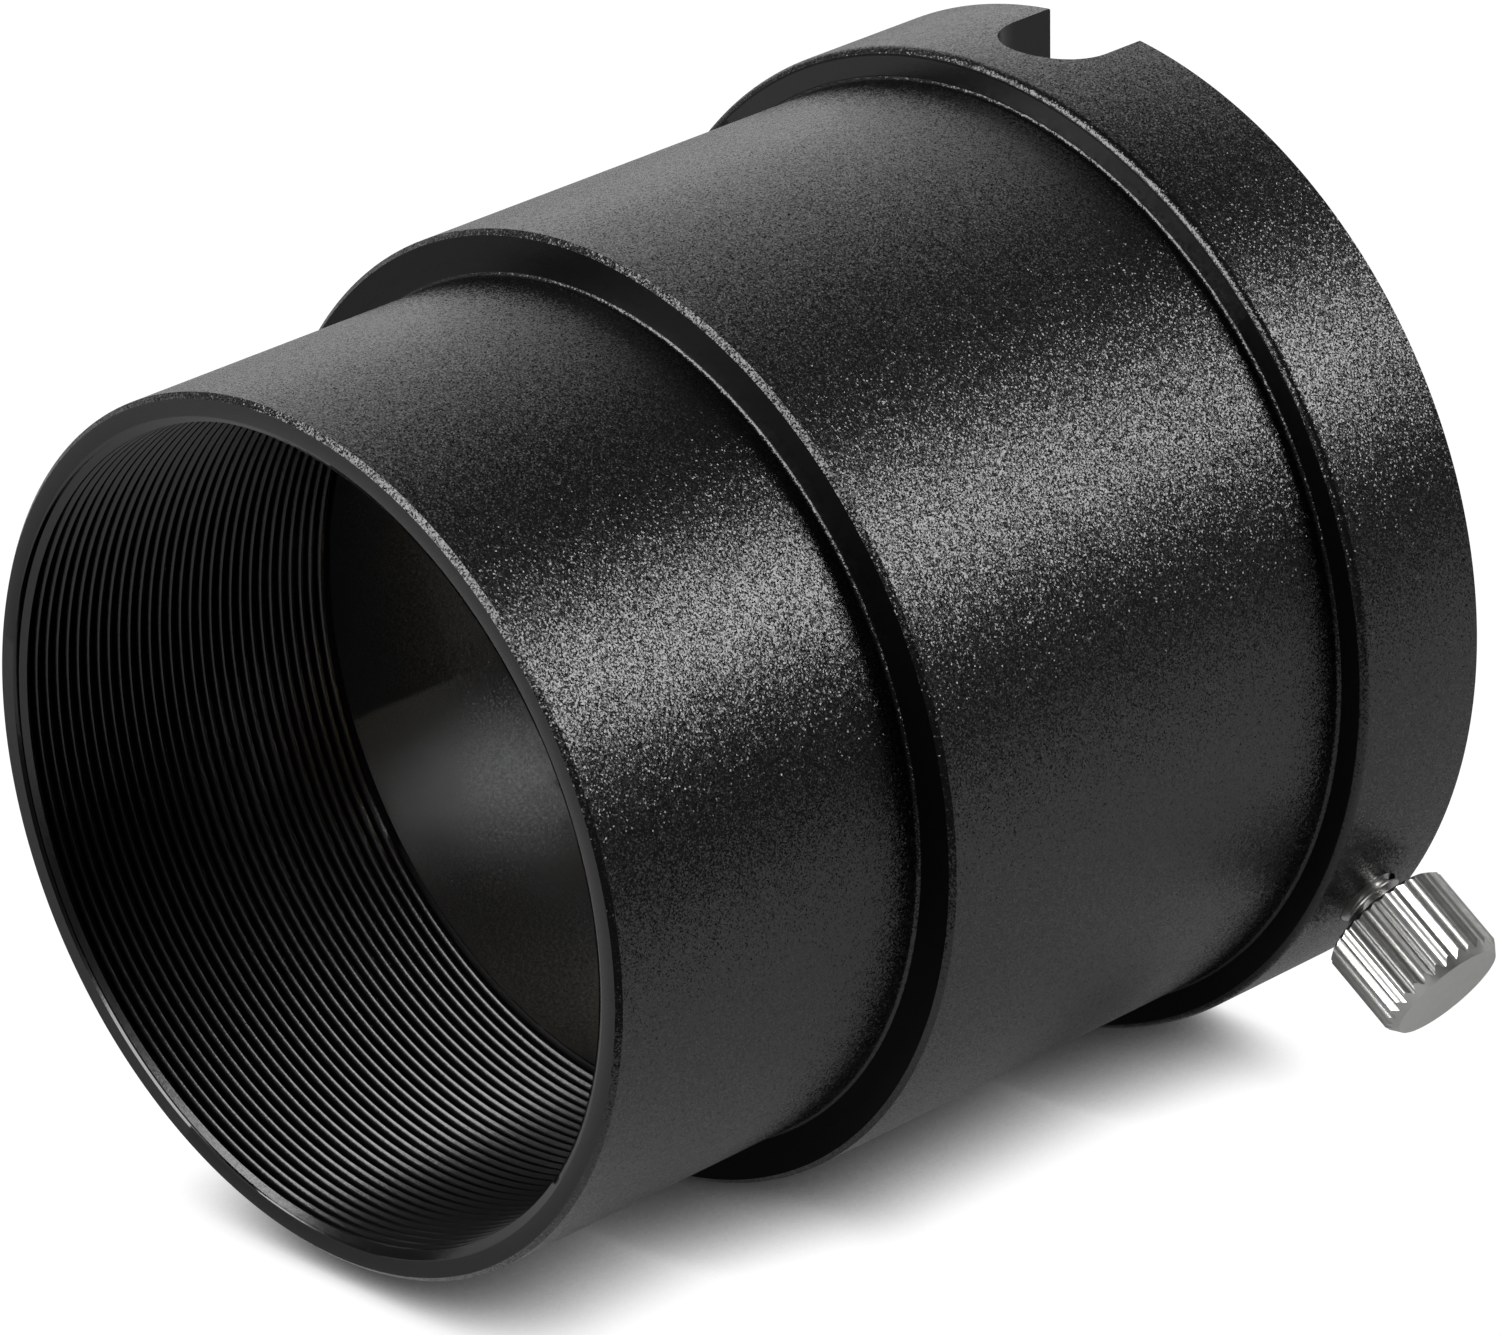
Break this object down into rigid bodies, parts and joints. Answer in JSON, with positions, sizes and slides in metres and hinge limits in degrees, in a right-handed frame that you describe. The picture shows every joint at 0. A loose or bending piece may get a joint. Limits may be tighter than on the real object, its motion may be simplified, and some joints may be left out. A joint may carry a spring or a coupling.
{
  "type": "barlow lens",
  "caption": "Short 2 inch Barlow lens: threaded nosepiece, body tube with negative doublet, and notched eyepiece collar with knurled thumbscrews.",
  "frame": {"origin": "on the optical axis, in the plane of the seating shoulder behind the nosepiece", "axes": "+X along the optical axis towards the eyepiece side, +Z towards the collar's notch, +Y towards the right thumbscrew as seen from the eyepiece side"},
  "size_m": [0.0621, 0.0668, 0.0598],
  "materials": {
    "black_anodised": "bead-blasted black anodised",
    "plated_screw": "bright turned and knurled",
    "ring_brass": "satin turned",
    "pad_nylon": "matt",
    "optical_glass": "polished and coated",
    "cushion_rubber": "matt"
  },
  "bodies": {
    "barrel": {"nosepiece": "black_anodised", "body_tube": "black_anodised", "eyepiece_collar": "black_anodised", "compression_ring": "ring_brass", "lens_cell": "black_anodised", "front_lens": "optical_glass", "rear_lens": "optical_glass", "lens_spacer": "black_anodised", "lens_retainer": "black_anodised", "cell_cushion_ring": "cushion_rubber"},
    "left_pad": {"left_screw_pad": "pad_nylon"},
    "left_screw": {"left_thumbscrew": "plated_screw"},
    "right_pad": {"right_screw_pad": "pad_nylon"},
    "right_screw": {"right_thumbscrew": "plated_screw"}
  },
  "joints": [
    {"name": "left_screw_travel", "type": "slide", "parent": "barrel", "child": "left_pad", "axis": [0, -0.848, -0.5299], "range_m": [-0.00068, 0.0014]},
    {"name": "left_screw_turn", "type": "hinge", "parent": "left_pad", "child": "left_screw", "pos_m": [0.03615, -0.02909, -0.01818], "axis": [0, -0.848, -0.5299], "range_deg": [-351, 721]},
    {"name": "right_screw_travel", "type": "slide", "parent": "barrel", "child": "right_pad", "axis": [0, 0.848, -0.5299], "range_m": [-0.00068, 0.0014]},
    {"name": "right_screw_turn", "type": "hinge", "parent": "right_pad", "child": "right_screw", "pos_m": [0.03615, 0.02909, -0.01818], "axis": [0, 0.848, -0.5299], "range_deg": [-351, 721]}
  ],
  "couplings": [
    {"joint": "left_screw_turn", "follows": "left_screw_travel", "rad_per_m": 8976},
    {"joint": "right_screw_turn", "follows": "right_screw_travel", "rad_per_m": 8976}
  ]
}
